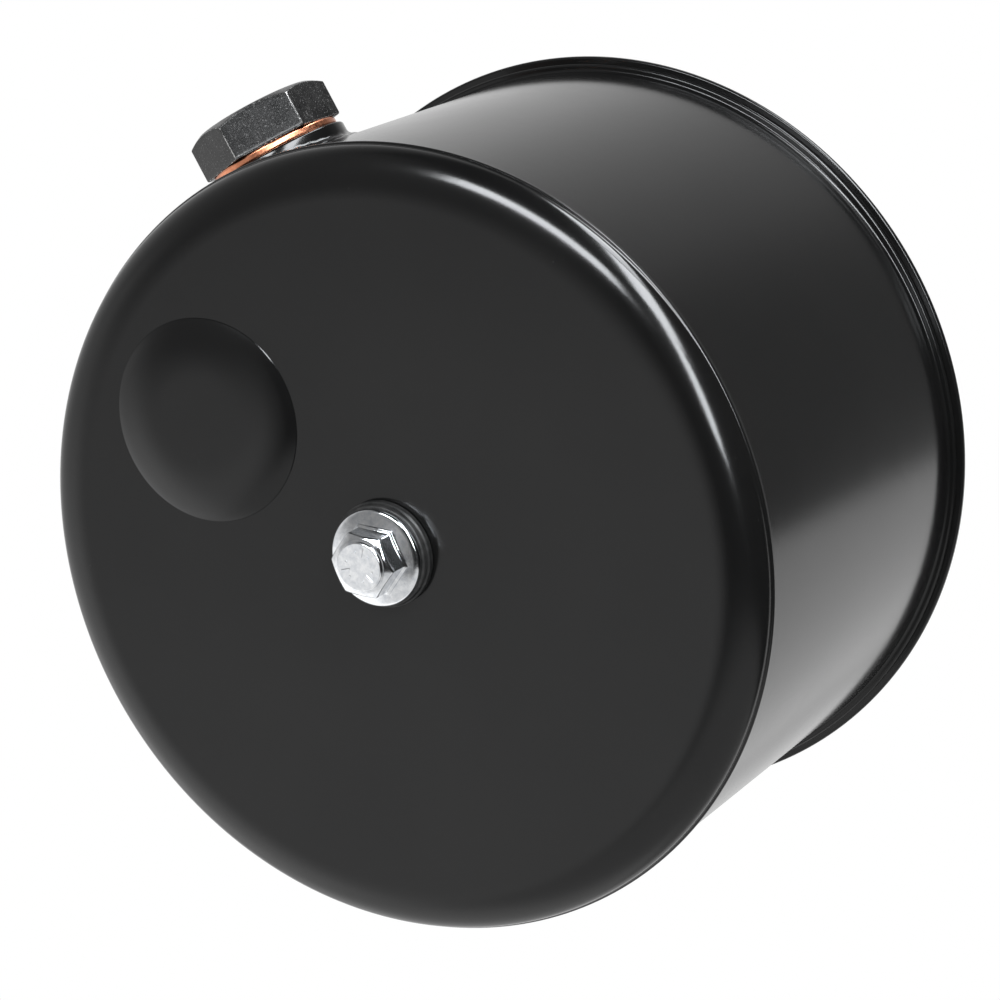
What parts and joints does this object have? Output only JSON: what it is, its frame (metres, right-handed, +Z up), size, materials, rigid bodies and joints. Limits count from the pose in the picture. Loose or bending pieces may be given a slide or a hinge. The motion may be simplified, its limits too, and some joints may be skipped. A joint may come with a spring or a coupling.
{
  "type": "hydraulic reservoir",
  "caption": "Round drawn-steel hydraulic reservoir with an open flanged mouth, a filler plug on its side and a long centre bolt that carries the return filter.",
  "frame": {"origin": "centre of the mounting flange's sealing face, on the can's axis", "axes": "+Y along the can's axis, out of its open mouth towards the pump; +Z up, through the filler plug; +X completes a right-handed frame"},
  "size_m": [0.1496, 0.117, 0.1583],
  "materials": {
    "black_paint": "semi-gloss black paint over drawn steel",
    "black_rubber": "smooth moulded rubber",
    "copper": "annealed copper, lightly tarnished",
    "black_oxide": "black oxide on forged steel, rubbed bright along the edges",
    "zinc": "bright zinc plate",
    "zinc_sheet": "passivated zinc on pressed steel sheet",
    "spring_steel": "oiled spring steel",
    "filter_paper": "resin-treated pleated filter paper"
  },
  "bodies": {
    "can": {"end_cap": "black_paint", "shell": "black_paint", "mounting_flange": "black_paint", "mouth_o_ring": "black_rubber", "cap_reinforcement": "black_paint", "filler_boss": "black_paint"},
    "plug_washer": {"copper_washer": "copper"},
    "plug": {"filler_plug": "black_oxide"},
    "bolt_stack": {"bolt_seal_washer": "black_rubber", "spring_seat": "zinc_sheet", "filter_spring": "spring_steel", "seat_plate": "zinc_sheet"},
    "bolt": {"through_bolt": "zinc", "front_clip": "spring_steel", "rear_clip": "spring_steel"},
    "filter_pack": {"filter_front_plate": "zinc_sheet", "bolt_grommet": "black_rubber", "filter_media": "filter_paper", "filter_centre_tube": "zinc_sheet", "filter_rear_plate": "zinc_sheet", "filter_seal": "black_rubber"}
  },
  "joints": [
    {"name": "plug_lift", "type": "slide", "parent": "can", "child": "plug_washer", "axis": [0, 0, 1], "range_m": [0, 0.0105]},
    {"name": "plug_turn", "type": "hinge", "parent": "plug_washer", "child": "plug", "pos_m": [0, -0.062, 0.0755], "axis": [0, 0, 1], "range_deg": [0, 2521]},
    {"name": "bolt_pull", "type": "slide", "parent": "can", "child": "bolt_stack", "axis": [0, -1, 0], "range_m": [0, 0.012]},
    {"name": "bolt_turn", "type": "hinge", "parent": "bolt_stack", "child": "bolt", "pos_m": [0, -0.05, 0], "axis": [0, -1, 0], "continuous": true},
    {"name": "filter_bypass", "type": "slide", "parent": "bolt_stack", "child": "filter_pack", "axis": [0, -1, 0], "range_m": [0, 0.006], "stiffness_N_per_m": 2000, "springref_m": -0.008, "deforming": ["filter_spring"]}
  ],
  "couplings": [
    {"joint": "plug_turn", "follows": "plug_lift", "rad_per_m": 4188.8}
  ]
}
